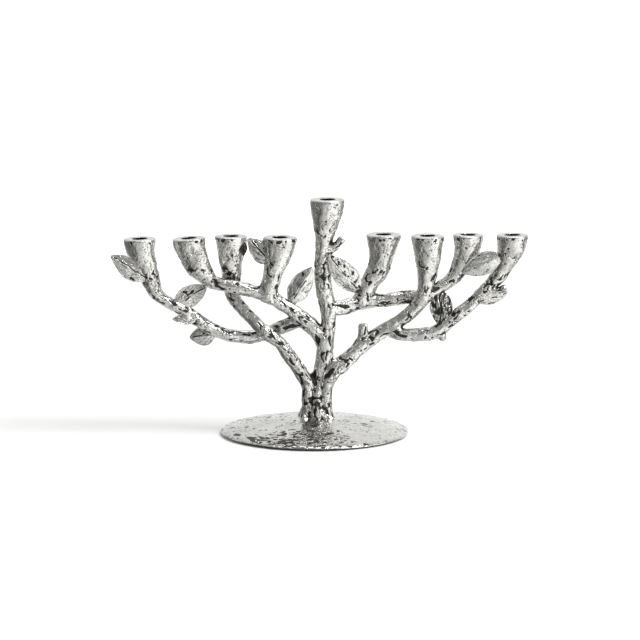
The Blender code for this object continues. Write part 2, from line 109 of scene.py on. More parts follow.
CUP_LINES = {
    "candle_cup_1": [
        (-135, 0, 123, 5.6), (-137, 0, 128.5, 6.8), (-139.5, 0, 135, 7.9), (-141.5, 0, 142.5, 8),
        (-143.5, 0, 149.5, 8.8), (-146.5, 0, 156.5, 11), (-147.8, 0, 162.5, 12.6), (-148.3, 0, RIM_Z, 13.7),
    ],
    "candle_cup_2": [
        (-87.5, -3, 132.5, 5.8), (-93, -2.5, 137.5, 7.6), (-97.8, -2, 144, 9.7), (-101.5, -1, 151.5, 11),
        (-104.5, 0, 159.5, 12.2), (-106.8, 0, RIM_Z, 13.8),
    ],
    "candle_cup_3": [
        (-70.5, 8, 124, 6), (-70.5, 9, 130, 7.4), (-70.5, 9, 137, 8), (-70.5, 9, 147, 9.5), (-70.5, 9, 157.5, 11.9),
        (-70.5, 9, RIM_Z, 13.8),
    ],
    "candle_cup_4": [
        (-39, -5, 120, 6), (-39, -5, 128, 6.9), (-36.5, -4, 136, 7.1), (-34.5, -3, 143.5, 8), (-32, -2, 151, 10),
        (-30.5, -1, 159.5, 12.1), (-29.5, 0, RIM_Z, 14),
    ],
    "candle_cup_5": [
        (40.5, 9, 112, 6.6), (44, 9.5, 121.5, 7.4), (48.5, 10, 129, 7.6), (53, 10, 135.5, 8.6), (56, 10, 142, 9.4),
        (57.5, 10, 149.5, 10), (58.5, 10, 157.5, 11.6), (59.5, 10, RIM_Z, 14.8),
    ],
    "candle_cup_6": [
        (94.8, 0, 127.5, 7), (95.7, 0, 134, 7.8), (96.2, 0, 140, 8.6), (96.2, 0, 148.5, 10.3), (96.4, 0, 157, 11.9),
        (96.2, 0, RIM_Z, 14),
    ],
    "candle_cup_7": [
        (120, 3, 134, 6.3), (124.5, 3, 141.5, 7.6), (128.5, 3, 149.5, 9.5), (130, 3, 158, 11), (131, 3, RIM_Z, 13.2),
    ],
    "candle_cup_8": [
        (154.5, 0, 132, 6), (159, 0, 138.5, 6.9), (163, 0, 146, 7.9), (166, 0, 153, 10), (167.5, 0, 160, 12),
        (168.5, 0, RIM_Z, 13.7),
    ],
    "shamash_cup": [
        (7, 0, 156, 6.2), (8, 0, 166, 7.4), (9, 0, 175, 9.4), (10, 0, 184, 11.4), (10.5, 0, 192.5, 13.3),
        (11, 0, SHAMASH_Z, 14.6),
    ],
}

# Small growths that belong to a casting: cut twigs, the roots that run down the trunk, and a bud
GROWTHS = {
    "trunk": [
        [(8, 0, 153, 3.4), (14.5, -1, 158.5, 3), (19, -2, 163, 2.8), (23.2, -2, 167.7, 3.1)],
        [(-6.5, -4, 43, 4.8), (-5.8, -4.5, 34, 4.6), (-6, -4.5, 24, 4.6), (-7.5, -5.5, 16, 4.8), (-10.5, -8, 9, 5.5)],
        [(11, -3.5, 44, 4.8), (8.6, -2.8, 34, 6), (8.6, -2.8, 24, 6), (9.8, -3.6, 16, 5.8), (13, -6, 9, 6)],
        [(2.5, -3, 38, 4.5), (1, -4.8, 31, 5.5), (0.6, -6, 23, 5.8), (0.4, -7, 15, 5.4), (0.2, -8.5, 9, 5.4)],
        [(-1, 3, 46, 6), (-4.5, 5.5, 36, 5.2), (-4.5, 6.5, 24, 5.2), (-6.5, 8, 16, 5.6), (-10, 12, 8, 6)],
        [(6, 3, 46, 6), (8.5, 6, 36, 5), (8, 7, 24, 5), (9.5, 8.5, 16, 5.4), (13, 12, 8, 6)],
    ],
    "right_low_branch": [[(39.5, -4, 75, 4), (41, -4, 84, 3.7), (41.5, -4, 93.3, 4)]],
    "right_outer_branch": [
        [(143, -1, 117, 3.2), (153, -3, 120, 3.1), (162.3, -4, 123.8, 3.2)],
        [(106, -5, 87, 3), (108, -5.5, 83, 2.6), (108.5, -5.5, 81.8, 2)],
    ],
}

# The cut end of each twig, the way it points, and its radius
CUTS = [
    ((23.2, -2, 167.7), (4.2, 0, 4.7), 3.1), ((41.5, -4, 93.3), (0.5, 0, 9.3), 4.0),
    ((162.3, -4, 123.8), (9.3, -1, 3.8), 3.2),
]

# Lines that run from a branch into the cup at its end, and the pieces that the line is divided into
CHAINS = [
    (TRUNK, "trunk", "shamash_cup"),
    (LEFT_LOW, "left_low_branch", "candle_cup_3"),
    (LEFT_HIGH, "left_high_branch", "candle_cup_2"),
    (LEFT_OUTER, "left_outer_branch", "candle_cup_1"),
    (RIGHT_LOW, "right_low_branch", "candle_cup_6"),
    (RIGHT_OUTER, "right_outer_branch", "candle_cup_8"),
    (RIGHT_INNER, "right_inner_branch", "candle_cup_7"),
]

# Where one casting grows out of another: the place, and how wide the fillet is
JOINTS = [
    ((-5, -4, 47), 1.5), ((12, -3, 52), 2), ((4, 0, 82), 4), ((17, 2, 107), 3), ((-18, 0, 97), 3.5),
    ((66, -3, 89), 3.5), ((86, 5, 115), 3), ((98, 1, 119), 4), ((-39, -5, 125), 4), ((43, 9, 118), 4),
    ((11, -1, 157), 2.5), ((40, -4, 80), 3), ((146, -2, 118), 2.5), ((107, -5, 86), 2), ((2, 0, 6), 3.5),
]

# How far each rim leans: its outward normal's x and y
RIM_LEAN = {
    "candle_cup_1": (-0.03, 0), "candle_cup_2": (-0.075, 0), "candle_cup_4": (0.01, -0.01),
    "candle_cup_7": (0.015, 0),
}

# Dark scars in the plate: place, length round the plate and width across
PLATE_MARKS = [
    (-68, -27, 6, 2.6), (-57, -43, 6, 2.4), (-64, 42, 5, 3), (-38, 17, 5, 2), (-27, 25, 2.5, 2.5), (-12, 30, 2, 2.5),
    (-45, -50, 5, 1.8), (-30, -60, 4, 1.8),
]

# The studio's brightness round the horizon, at degrees from the front to the right: just below eye level, just
# above it, and higher up. Straight up and straight down have one brightness each
SKY_STRENGTH = 1.7
LOW_SKY = [
    (-180, 1.0), (-145, 0.9), (-130, 0.25), (-62, 0.12), (-45, 0.42), (-24, 0.74), (0, 0.88), (16, 1.15),
    (32, 1.6), (92, 1.6), (100, 0.3), (122, 0.3), (130, 1.2), (180, 1.0),
]
MIDDLE_SKY = [
    (-180, 0.97), (-174, 0.82), (-164, 0.68), (-150, 0.8), (-138, 0.2), (-60, 0.07), (-46, 0.3), (-20, 0.28),
    (18, 0.3), (29, 0.4), (39, 1.6), (92, 1.6), (99, 0.1), (124, 0.1), (132, 1.2), (174, 1.05), (180, 0.97),
]
HIGH_SKY = [
    (-180, 0.98), (-170, 0.8), (-155, 0.72), (-130, 0.85), (-100, 0.45), (-60, 0.35), (20, 0.45), (60, 0.6),
    (100, 0.6), (130, 0.95), (165, 1.05), (180, 0.98),
]
TOP_SKY = 0.8
GROUND_SKY = 0.9

NOISE_SIZE = 32  # the noise repeats after this many cells
RANDOM = np.random.default_rng(11)
SLOPES = RANDOM.normal(size=(NOISE_SIZE,) * 3 + (3,)).astype(np.float32)
SLOPES /= np.linalg.norm(SLOPES, axis=-1, keepdims=True)
JITTER = RANDOM.random((NOISE_SIZE,) * 3 + (4,), dtype=np.float32)

CORNERS = [np.array([c & 1, c >> 1 & 1, c >> 2 & 1]) for c in range(8)]  # of a cell


def unit(vectors):
    return vectors / np.maximum(np.linalg.norm(vectors, axis=1, keepdims=True), 1e-12)


# Noise

def to_cells(points, size, shift):
    """Points in units of the noise's cells, and the cell that each is in."""
    p = (np.asarray(points, np.float32) / np.float32(size)) + np.float32(shift) + np.float32(100.5)
    return p, np.floor(p).astype(np.int32)


def noise(points, size, shift=0.0):
    """Gradient noise between about -1 and 1, with lumps of the given size."""
    p, cell = to_cells(points, size, shift)
    f = p - cell
    fade = f * f * f * (f * (f * 6 - 15) + 10)
    total = np.zeros(len(p), np.float32)
    for step in CORNERS:
        at = (cell + step) % NOISE_SIZE
        slope = SLOPES[at[:, 0], at[:, 1], at[:, 2]]
        weight = np.where(step, fade, 1 - fade).prod(axis=1)
        total += weight * ((f - step) * slope).sum(axis=1)
    return total * 1.5


def cells(points, size, shift=0.0):
    """For one seed in each cell of a grid: how far the nearest is, and its number."""
    p, cell = to_cells(points, size, shift)
    near = np.full(len(p), 9.0, np.float32)
    number = np.zeros(len(p), np.float32)
    for dx in (-1, 0, 1):
        for dy in (-1, 0, 1):
            for dz in (-1, 0, 1):
                at = cell + np.array([dx, dy, dz])
                seed = JITTER[at[:, 0] % NOISE_SIZE, at[:, 1] % NOISE_SIZE, at[:, 2] % NOISE_SIZE]
                gap = ((at + seed[:, :3] - p) ** 2).sum(axis=1)
                closer = gap < near
                number = np.where(closer, seed[:, 3], number)
                near = np.where(closer, gap, near)
    return np.sqrt(near), number


def ramp(value, low, high):
    """0 below low and 1 above high, with a smooth step between."""
    t = np.clip((value - low) / (high - low), 0, 1)
    return t * t * (3 - 2 * t)


def fall(value, low, high):
    return 1 - ramp(value, low, high)


def peak(value, width):
    return np.exp(-((value / width) ** 2))


# Tubes

def spline(stations, pieces):
    """The Catmull-Rom curve through (x, y, z, radius) stations."""
    knots = np.array(stations, float)
    knots = np.vstack([2 * knots[0] - knots[1], knots, 2 * knots[-1] - knots[-2]])
    t = (np.arange(pieces) / pieces)[:, None]
    parts = []
    for before, start, end, after in zip(knots, knots[1:], knots[2:], knots[3:]):
        parts.append(0.5 * (
            2 * start + (end - before) * t + (2 * before - 5 * start + 4 * end - after) * t**2
            + (3 * start - before - 3 * end + after) * t**3
        ))
    return np.vstack([*parts, knots[-2:-1]])


def with_top(line):
    """A line that ends in a cup, carried on past the rim, so that the rim can be cut square."""
    x, y, z, radius = line[-1]
    return [*line, (x, y, z + 5, radius + 1)]


class Tube:
    """A tapering tube with an across and an up direction at each of its points."""

    def __init__(self, stations, pieces=6):
        curve = spline(stations, pieces)
        self.centre, self.radius = curve[:, :3], curve[:, 3]
        ahead = np.diff(self.centre, axis=0)
        self.along = np.concatenate([[0], np.cumsum(np.linalg.norm(ahead, axis=1))])
        tangent = unit(np.gradient(self.centre, axis=0))
        across = np.cross(tangent[0], [0.3, 1, 0.1])
        frames = []
        for t in tangent:
            across = across - across.dot(t) * t
            across = across / np.linalg.norm(across)
            frames.append((across, np.cross(t, across)))
        self.across = np.array([f[0] for f in frames])
        self.up = np.array([f[1] for f in frames])

    def nearest(self, points):
        """For each point: the distance to the surface, the length along, and the unit direction outwards."""
        best = np.full(len(points), 1e9)
        along = np.zeros(len(points))
        out = np.zeros((len(points), 2))
        for i in range(len(self.centre) - 1):
            a, b = self.centre[i], self.centre[i + 1]
            span = b - a
            reach = max(self.radius[i], self.radius[i + 1]) + 14
            low, high = np.minimum(a, b) - reach, np.maximum(a, b) + reach
            here = np.flatnonzero(((points > low) & (points < high)).all(axis=1))
            if not len(here):
                continue
            p = points[here]
            t = np.clip((p - a) @ span / (span @ span), 0, 1)
            offset = p - a - t[:, None] * span
            gap = np.linalg.norm(offset, axis=1) - (self.radius[i] * (1 - t) + self.radius[i + 1] * t)
            closer = gap < best[here]
            at = here[closer]
            best[at] = gap[closer]
            t, offset = t[closer], offset[closer]
            along[at] = self.along[i] + t * (self.along[i + 1] - self.along[i])
            across = self.across[i] * (1 - t[:, None]) + self.across[i + 1] * t[:, None]
            up = self.up[i] * (1 - t[:, None]) + self.up[i + 1] * t[:, None]
            out[at] = np.stack([(offset * across).sum(axis=1), (offset * up).sum(axis=1)], axis=1)
        return best, along, unit(out)


# The field of the castings: distance to the surface, negative inside

def grid_axes(low, high):
    return [np.arange(math.floor(a / GRID), math.ceil(b / GRID) + 1) * GRID for a, b in zip(low, high)]


def open_grid(x, y, z):
    return x[:, None, None], y[None, :, None], z[None, None, :]


def grid_range(axes, low, high, least, most, extra=0):
    """The indices of the grid's points from low to high, kept between least and most."""
    origin = np.array([axis[0] for axis in axes])
    first = np.floor((low - origin) / GRID).astype(int)
    last = np.ceil((high - origin) / GRID).astype(int) + extra
    return np.clip(first, least, most), np.clip(last, least, most)


def block_near(field, axes, centre, reach):
    """The block of the grid within reach of a centre: its slices, and x, y and z from the centre."""
    low, high = grid_range(axes, centre - reach, centre + reach, 0, field.shape)
    x, y, z = (axes[i][low[i]:high[i]].astype(np.float32) - centre[i] for i in range(3))
    place = tuple(slice(l, h) for l, h in zip(low, high))
    return place, *open_grid(x, y, z)


def add_tube(field, axes, stations, top=None):
    """Joins a tube into the field, with a fillet near the joints. top cuts it off at a rim's plane."""
    curve = spline(stations, 5)
    widest = curve[:, 3].max()
    nearest, farthest = curve[:, :3].min(axis=0) - widest - BAND, curve[:, :3].max(axis=0) + widest + BAND
    low, high = grid_range(axes, nearest, farthest, 0, field.shape, 1)
    block = np.full(high - low, BAND, np.float32)
    for start, end in zip(curve, curve[1:]):
        a, b = start[:3], end[:3]
        reach = max(start[3], end[3]) + BAND
        first, last = grid_range(axes, np.minimum(a, b) - reach, np.maximum(a, b) + reach, low, high, 1)
        if (last <= first).any():
            continue
        x, y, z = (axes[i][first[i]:last[i]].astype(np.float32) for i in range(3))
        x, y, z = open_grid(x, y, z)
        px, py, pz = x - a[0], y - a[1], z - a[2]
        span = b - a
        t = np.clip((px * span[0] + py * span[1] + pz * span[2]) / (span @ span), 0, 1)
        gap = np.sqrt((px - t * span[0]) ** 2 + (py - t * span[1]) ** 2 + (pz - t * span[2]) ** 2)
        gap -= start[3] + (end[3] - start[3]) * t
        place = tuple(slice(f - l, e - l) for f, e, l in zip(first, last, low))
        block[place] = np.minimum(block[place], gap.astype(np.float32))
    x, y, z = (axes[i][low[i]:high[i]].astype(np.float32) for i in range(3))
    x, y, z = open_grid(x, y, z)
    if top is not None:
        centre, lean = top
        above = (z - centre[2]) + (x - centre[0]) * lean[0] + (y - centre[1]) * lean[1]
        block = -smooth_min(-block, -above, 1.6)
    place = tuple(slice(l, h) for l, h in zip(low, high))
    fillet = np.full(block.shape, LEAST_FILLET, np.float32)
    for (jx, jy, jz), width in JOINTS:
        away = (x - jx) ** 2 + (y - jy) ** 2 + (z - jz) ** 2
        fillet = np.maximum(fillet, LEAST_FILLET + width * np.exp(-away / FILLET_REACH**2))
    field[place] = smooth_min(field[place], block, fillet)


def smooth_min(a, b, width):
    """The lower of two fields, with the crease between them filled."""
    h = np.maximum(width - np.abs(a - b), 0) / width
    return np.minimum(a, b) - h * h * width * 0.25


def drill(field, axes, centre, lean):
    """A candle's bore, square to the rim."""
    reach = np.array([CANDLE_RADIUS + 3, CANDLE_RADIUS + 3, CANDLE_DEPTH + 3])
    place, x, y, z = block_near(field, axes, centre, reach)
    wall = np.sqrt((x - z * lean[0]) ** 2 + (y - z * lean[1]) ** 2) - CANDLE_RADIUS
    hole = np.maximum(wall, -CANDLE_DEPTH - z)
    field[place] = -smooth_min(-field[place], hole, 0.4)


def trim(field, axes, centre, toward, radius):
    """Cuts a twig off square, with a small hollow at its pith."""
    toward = np.array(toward) / np.linalg.norm(toward)
    place, x, y, z = block_near(field, axes, centre, radius + 3)
    along = x * toward[0] + y * toward[1] + z * toward[2]
    aside = np.sqrt(np.maximum(x * x + y * y + z * z - along * along, 0))
    cut = along - 0.35 * radius + 1.1 * peak(aside, 0.42 * radius)
    field[place] = -smooth_min(-field[place], -cut, 0.7)


def sample(field, axes, points):
    """The field at any points, by trilinear interpolation."""
    origin = np.array([axis[0] for axis in axes])
    p = (points - origin) / GRID
    cell = np.clip(np.floor(p).astype(int), 0, np.array(field.shape) - 2)
    f = p - cell
    value = np.zeros(len(points))
    for step in CORNERS:
        at = cell + step
        value += np.where(step, f, 1 - f).prod(axis=1) * field[at[:, 0], at[:, 1], at[:, 2]]
    return value


def slope(field, axes, points):
    """The field's unit gradient: the surface's normal."""
    parts = []
    for axis in range(3):
        step = np.zeros(3)
        step[axis] = GRID * 0.8
        parts.append(sample(field, axes, points + step) - sample(field, axes, points - step))
    return unit(np.stack(parts, axis=1))


def fill_pinches(field):
    """Fills the corners of the grid where two parts of the surface would touch along an edge."""
    for first, second in ((0, 1), (0, 2), (1, 2)) * 2:
        values = np.moveaxis(field, (first, second), (0, 1))
        inside = values < 0
        a, b, c, d = inside[:-1, :-1], inside[1:, :-1], inside[:-1, 1:], inside[1:, 1:]
        at = np.nonzero((a == d) & (b == c) & (a != b))
        for i, j in ((0, 0), (1, 0), (0, 1), (1, 1)):
            corner = (at[0] + i, at[1] + j, at[2])
            values[corner] = np.minimum(values[corner], -0.02)


def surface_net(field, axes):
    """The zero surface of the field as quads, with one point in each cell that the surface crosses."""
    inside = field < 0
    nx, ny, nz = field.shape
    count = np.zeros((nx - 1, ny - 1, nz - 1), np.uint8)
    for dx, dy, dz in CORNERS:
        count += inside[dx:nx - 1 + dx, dy:ny - 1 + dy, dz:nz - 1 + dz]
    active = (count > 0) & (count < 8)
    cell = np.argwhere(active)
    index = np.full(active.shape, -1, np.int32)
    index[active] = np.arange(len(cell))
    corner = np.stack([field[tuple((cell + s).T)] for s in CORNERS], axis=1)
    total = np.zeros((len(cell), 3))
    hits = np.zeros(len(cell))
    for i in range(8):
        for j in range(i + 1, 8):
            if bin(i ^ j).count("1") != 1:
                continue
            a, b = corner[:, i], corner[:, j]
            cross = (a < 0) != (b < 0)
            t = np.where(cross, a / np.where(cross, a - b, 1), 0)
            total += cross[:, None] * (CORNERS[i] + t[:, None] * (CORNERS[j] - CORNERS[i]))
            hits += cross
    origin = np.array([axis[0] for axis in axes])
    points = origin + GRID * (cell + total / hits[:, None])
    quads = []
    for axis in range(3):
        u, v = (axis + 1) % 3, (axis + 2) % 3
        here = [slice(1, -1)] * 3
        here[axis] = slice(0, -1)
        there = list(here)
        there[axis] = slice(1, None)
        a, b = inside[tuple(here)], inside[tuple(there)]
        edge = np.argwhere(a != b) + np.array([0 if i == axis else 1 for i in range(3)])
        leaving = a[a != b]
        ring = []
        for du, dv in ((-1, -1), (0, -1), (0, 0), (-1, 0)):
            at = edge.copy()
            at[:, u] += du
            at[:, v] += dv
            ring.append(index[tuple(at.T)])
        ring = np.stack(ring, axis=1)
        ring[~leaving] = ring[~leaving][:, ::-1]
        quads.append(ring)
    return points, np.vstack(quads)


def vertex_normals(points, quads):
    """Each point's normal: the mean of its faces', weighted by area."""
    a, b = points[quads[:, 2]] - points[quads[:, 0]], points[quads[:, 3]] - points[quads[:, 1]]
    face = np.cross(a, b)
    normal = np.zeros_like(points)
    for corner in range(4):
        for axis in range(3):
            normal[:, axis] += np.bincount(quads[:, corner], face[:, axis], len(points))
    return unit(normal)


# Tool marks

def limb_marks(points, tube_along, tube_out, bark):
    """How far each point of a limb is pushed out, and how deep it lies in a crease, from 0 to 1."""
    warp = 0.45 * np.stack([noise(points, 6, shift) for shift in (1.9, 5.9, 9.9)], axis=1)

    def wrapped(round_size, long_size, shift):
        turned = tube_out * (6.0 / round_size)
        return np.stack([turned[:, 0], turned[:, 1], tube_along / long_size], axis=1) + warp + shift

    worked = ramp(noise(points, 13, 5.3), -0.35, 0.3)
    seam = np.abs(noise(wrapped(5.2, 14, 3.1), 1.0))
    seam = np.maximum(seam, 0.4 * ramp(noise(points, 5.5, 21.7), 0.25, -0.1))
    pad = np.minimum(seam / 0.4, 1) ** 0.6
    thin = np.abs(noise(wrapped(2.6, 7.5, 8.3), 1.0))
    scratch = np.minimum(thin / 0.35, 1) ** 0.7
    strand = noise(wrapped(5.5, 40, 1.3), 1.0)
    hollow = ramp(noise(wrapped(4.2, 8, 11.7), 1.0), 0.36, 0.41)
    push = bark * (0.5 * strand + worked * (0.85 * (pad - 0.8) + 0.42 * (scratch - 0.75)) - 0.5 * hollow)
    crease = bark * np.maximum(worked * fall(seam, 0.08, 0.28), hollow)
    return push, np.maximum(crease, 0.55 * bark * worked * fall(thin, 0.03, 0.14))


def tool_marks(points):
    """The marks that any casting has: the push of lumps, flat strokes and pits, and how deep the pits are."""
    lumps = 1.0 * noise(points, 17) + 0.4 * noise(points, 8, 4.2)
    near, _ = cells(points, 5.6, 2.2)
    strokes = 0.42 * (near * near - 0.33)
    near, _ = cells(points, 2.7, 6.2)
    strokes += 0.15 * (near * near - 0.33)
    near, number = cells(points, 3.6, 8.1)
    pit = np.where(number > 0.78, peak(near, 0.2), 0)
    return lumps + strokes - 0.5 * pit, pit


# Meshes

def link_object(name, data):
    obj = bpy.data.objects.new(name, data)
    bpy.context.scene.collection.objects.link(obj)
    return obj


def make_mesh(name, points, faces, normals, oxide_and_shade):
    """A mesh in metres from points in millimetres and arrays of faces. The last argument says where the metal is
    oxidised dark and where shade is painted dark.
    """
    mesh = bpy.data.meshes.new(name)
    counts = np.concatenate([np.full(len(group), group.shape[1]) for group in faces])
    corners = np.concatenate([group.ravel() for group in faces]).astype(np.int32)
    mesh.vertices.add(len(points))
    mesh.vertices.foreach_set("co", (points * MM).astype(np.float32).ravel())
    mesh.loops.add(len(corners))
    mesh.loops.foreach_set("vertex_index", corners)
    mesh.polygons.add(len(counts))
    starts = np.concatenate([[0], np.cumsum(counts)[:-1]])
    mesh.polygons.foreach_set("loop_start", starts.astype(np.int32))
    mesh.update(calc_edges=True)
    mesh.validate()
    mesh.shade_smooth()
    if normals is not None:
        mesh.normals_split_custom_set_from_vertices(normals.astype(np.float32))
    mesh.attributes.new("oxide_and_shade", "FLOAT", "POINT").data.foreach_set("value", oxide_and_shade.astype(np.float32))
    return mesh


def add_piece(name, mesh, material, node):
    obj = link_object(name, mesh)
    mesh.materials.append(material)
    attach(obj, "root")
    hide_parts(node)


def boundary_loops(quads):
    """The open edges of a set of quads, as rings of points in order."""
    edges = np.concatenate([quads[:, [i, (i + 1) % 4]] for i in range(4)])
    key = edges[:, 0].astype(np.int64) << 32 | edges[:, 1]
    back = edges[:, 1].astype(np.int64) << 32 | edges[:, 0]
    open_edges = edges[~np.isin(key, back)]
    following = {}
    for a, b in open_edges:
        following.setdefault(int(a), []).append(int(b))
    rings = []
    while following:
        path = [next(iter(following))]
        while path[-1] in following:
            at = path[-1]
            ahead = following[at].pop()
            if not following[at]:
                del following[at]
            if ahead in path:
                start = path.index(ahead)
                rings.append(path[start:])
                path = path[:start]
            path.append(ahead)
    return rings


def cut_piece(points, normals, oxide_and_shade, quads):
    """A closed mesh of some of the casting's quads: each open ring is filled with a fan to its middle."""
    rings = boundary_loops(quads)
    used, inverse = np.unique(quads, return_inverse=True)
    new_quads = inverse.reshape(quads.shape)
    place = {int(old): new for new, old in enumerate(used)}
    centres, fans = [], []
    for ring in rings:
        middle = points[ring].mean(axis=0) - normals[ring].mean(axis=0) * 0.5
        hub = len(used) + len(centres)
        centres.append(middle)
        ids = [place[p] for p in ring]
        fans += [(b, a, hub) for a, b in zip(ids, ids[1:] + ids[:1])]
    all_points = np.vstack([points[used], *[c[None] for c in centres]])
    all_normals = np.vstack([normals[used]] + [np.array([[0, 0, 1.0]])] * len(centres))
    all_oxide_and_shade = np.concatenate([oxide_and_shade[used], np.zeros(len(centres))])
    faces = [new_quads] + ([np.array(fans)] if fans else [])
    return all_points, faces, all_normals, all_oxide_and_shade


def tidy_owners(owner, quads, count, rounds=6):
    """Evens out the border between pieces: a quad takes the owner that most of its neighbours have."""
    size = int(quads.max()) + 1
    for _ in range(rounds):
        votes = np.zeros((size, count), np.float32)
        for corner in range(4):
            np.add.at(votes, (quads[:, corner], owner), 1)
        total = votes[quads].sum(axis=1)
        owner = total.argmax(axis=1)
    # A small patch cut off from the rest of its piece goes to the piece around it
    corners, label = np.unique(quads.astype(np.int64) * count + owner[:, None], return_inverse=True)
    label = label.reshape(quads.shape)
    patch = np.arange(len(corners))
    while True:
        least = patch[label].min(axis=1)
        before = patch.copy()
        for corner in range(4):
            np.minimum.at(patch, label[:, corner], least)
        patch = patch[patch]
        if (patch == before).all():
            break
    patch = patch[label[:, 0]]
    sizes = np.bincount(patch)
    for small in np.flatnonzero((sizes > 0) & (sizes < PATCH_LEAST)):
        inside = np.flatnonzero(patch == small)
        around = total[inside].sum(axis=0)
        around[owner[inside[0]]] = -1
        owner[inside] = around.argmax()
    return owner


def casting_field(axes, tops):
    """The field of every branch, cup and growth, with the bores and the cut ends."""
    field = np.full([len(axis) for axis in axes], BAND, np.float32)
    for line, _, cup in CHAINS:
        add_tube(field, axes, with_top(line + CUP_LINES[cup][1:]), tops[cup])
    add_tube(field, axes, RIGHT_HIGH)
    for cup in ("candle_cup_4", "candle_cup_5"):
        add_tube(field, axes, with_top(CUP_LINES[cup]), tops[cup])
    for growths in GROWTHS.values():
        for line in growths:
            add_tube(field, axes, line)
    for centre, lean in tops.values():
        drill(field, axes, centre, lean)
    for centre, toward, radius in CUTS:
        trim(field, axes, np.array(centre), toward, radius)
    field = np.maximum(field, (FOOT_Z - axes[2].astype(np.float32))[None, None, :])
    fill_pinches(field)
    return field


def make_castings(metal):
    """Every casting but the leaves and the plate."""
    lines = {branch: line for line, branch, _ in CHAINS}
    lines["right_high_branch"] = RIGHT_HIGH
    tops = {name: (np.array(line[-1][:3]), RIM_LEAN.get(name, (0, 0))) for name, line in CUP_LINES.items()}
    axes = grid_axes(*CASTING_BOX)
    field = casting_field(axes, tops)
    points, quads = surface_net(field, axes)
    for _ in range(2):
        points -= slope(field, axes, points) * sample(field, axes, points)[:, None]
    normals = vertex_normals(points, quads)

    # How far each casting's surface is from each point, how far along it is, and its direction out
    names = [*lines, *CUP_LINES]
    spans = {**lines, **CUP_LINES}
    gaps = np.full((len(points), len(names)), 1e3)
    marks = np.zeros(len(points))
    creases = np.zeros(len(points))
    weight_sum = np.zeros(len(points))
    measured = {}
    for i, name in enumerate(names):
        gap, along, out = Tube(spans[name]).nearest(points)
        for line in GROWTHS.get(name, []):
            more_gap, more_along, more_out = Tube(line).nearest(points)
            closer = more_gap < gap
            gap = np.where(closer, more_gap, gap)
            along = np.where(closer, more_along + GROWTH_START, along)
            out = np.where(closer[:, None], more_out, out)
        gaps[:, i] = gap
        measured[name] = (along + (CUP_START if name in CUP_LINES else 0), out)
    least = gaps.min(axis=1)
    for i, name in enumerate(names):
        weight = np.exp(-(gaps[:, i] - least) / 0.7)
        here = np.flatnonzero(weight > 0.02)
        along, out = (m[here] for m in measured[name])
        bark = np.ones(len(here))
        if name in CUP_LINES:
            rim = CUP_LINES[name][-1][2]
            bark = 1 - 0.6 * ramp(points[here, 2], rim - 34, rim - 14)
        push, crease = limb_marks(points[here], along, out, bark)
        marks[here] += weight[here] * push
        creases[here] += weight[here] * crease
        weight_sum[here] += weight[here]
    marks /= weight_sum
    creases /= weight_sum
    general, pits = tool_marks(points)

    # The rim's flat and the bore stay nearly true, and the metal is dark in the bore and in spots below the rim
    calm = np.ones(len(points))
    stain_and_shade = np.zeros(len(points))
    spots = ramp(noise(points * [1, 1, 0.8], 3.0, 17.3), 0.22, 0.34)
    for centre, lean in tops.values():
        near = np.linalg.norm(points[:, :2] - centre[:2], axis=1)
        below = centre[2] - points[:, 2] - (points[:, 0] - centre[0]) * lean[0]
        column = (near < 17) & (below < 20)
        flat = 1 - 0.85 * fall(below, 0.4, 3.0)
        in_bore = (near < CANDLE_RADIUS + 0.8) & (below > -1)
        calm = np.where(column, np.minimum(calm, flat), calm)
        calm = np.where(column & in_bore, 0.12, calm)
        band = ramp(below, 0.7, 1.2) * fall(below, 3.0, 4.6)
        stain_and_shade = np.where(column & ~in_bore, np.maximum(stain_and_shade, spots * band), stain_and_shade)
        stain_and_shade = np.where(column & in_bore, ramp(below, 0.0, 0.8), stain_and_shade)
    for centre, toward, radius in CUTS:
        toward = np.array(toward) / np.linalg.norm(toward)
        offset = points - np.array(centre)
        along = offset @ toward
        aside = np.linalg.norm(offset - along[:, None] * toward, axis=1)
        pith = (along > -1.5) & (aside < radius * 1.2)
        calm = np.where(pith & (along > 0), 0.25, calm)
        stain_and_shade = np.where(pith, np.maximum(stain_and_shade, peak(aside, 0.5 * radius)), stain_and_shade)
    # The root at the front of the trunk is rough, and painted dark in mottled patches, most of all in a band near z
    # 32
    # and towards the foot: painted shade of the trunk's shadowed core
    x, y, z = points.T
    root = ramp(-y, 6, 8) * ramp(x, -7.5, -5.5) * fall(x, 5, 7) * fall(z, 31, 36)
    general += 0.7 * root * noise(points, 3.2, 13.3)
    dark = ramp(noise(points * [1, 1, 0.7], 2.8, 15.1), 0.15, 0.3)
    dark = np.maximum(dark, peak(z - 32, 1.5) + 0.4 * fall(z, 15, 19))
    stain_and_shade = np.maximum(stain_and_shade, root * np.clip(dark, 0, 1))
    near_foot = ramp(z, FOOT_Z + 0.05, FOOT_Z + 2)

    # Where castings meet, the field a few millimetres out is less than that far from the surface
    closed = np.zeros(len(points))
    for out in (1.6, 3.4):
        closed += 0.5 * np.clip(1 - sample(field, axes, points + normals * out) / out, 0, 1)
    groove = 0.85 * ramp(closed, 0.2, 0.6)
    push = (marks + general + 0.35) * calm - 0.5 * groove * (0.5 + 0.5 * noise(points, 4, 9.9))
    push = (push - 0.35 * np.where(calm > 0.2, stain_and_shade, 0)) * near_foot
    moved = points + normals * push[:, None]
    # The dark: oxidised creases, pits, grooves and bore, spots below the rims and at the piths, and the painted shade
    # on the trunk's root
    oxide_and_shade = np.clip(0.85 * creases * calm + 0.9 * pits * calm + groove + stain_and_shade - 0.2 * push, 0, 1)
    new_normals = vertex_normals(moved, quads)
    moved[:, 2] = np.minimum(moved[:, 2], SHAMASH_Z)

    owner = gaps[quads].mean(axis=1).argmin(axis=1)
    owner = tidy_owners(owner, quads, len(names))
    for i, name in enumerate(names):
        part = cut_piece(moved, new_normals, oxide_and_shade, quads[owner == i])
        add_piece(f"{name}_casting", make_mesh(name, *part), metal, name)
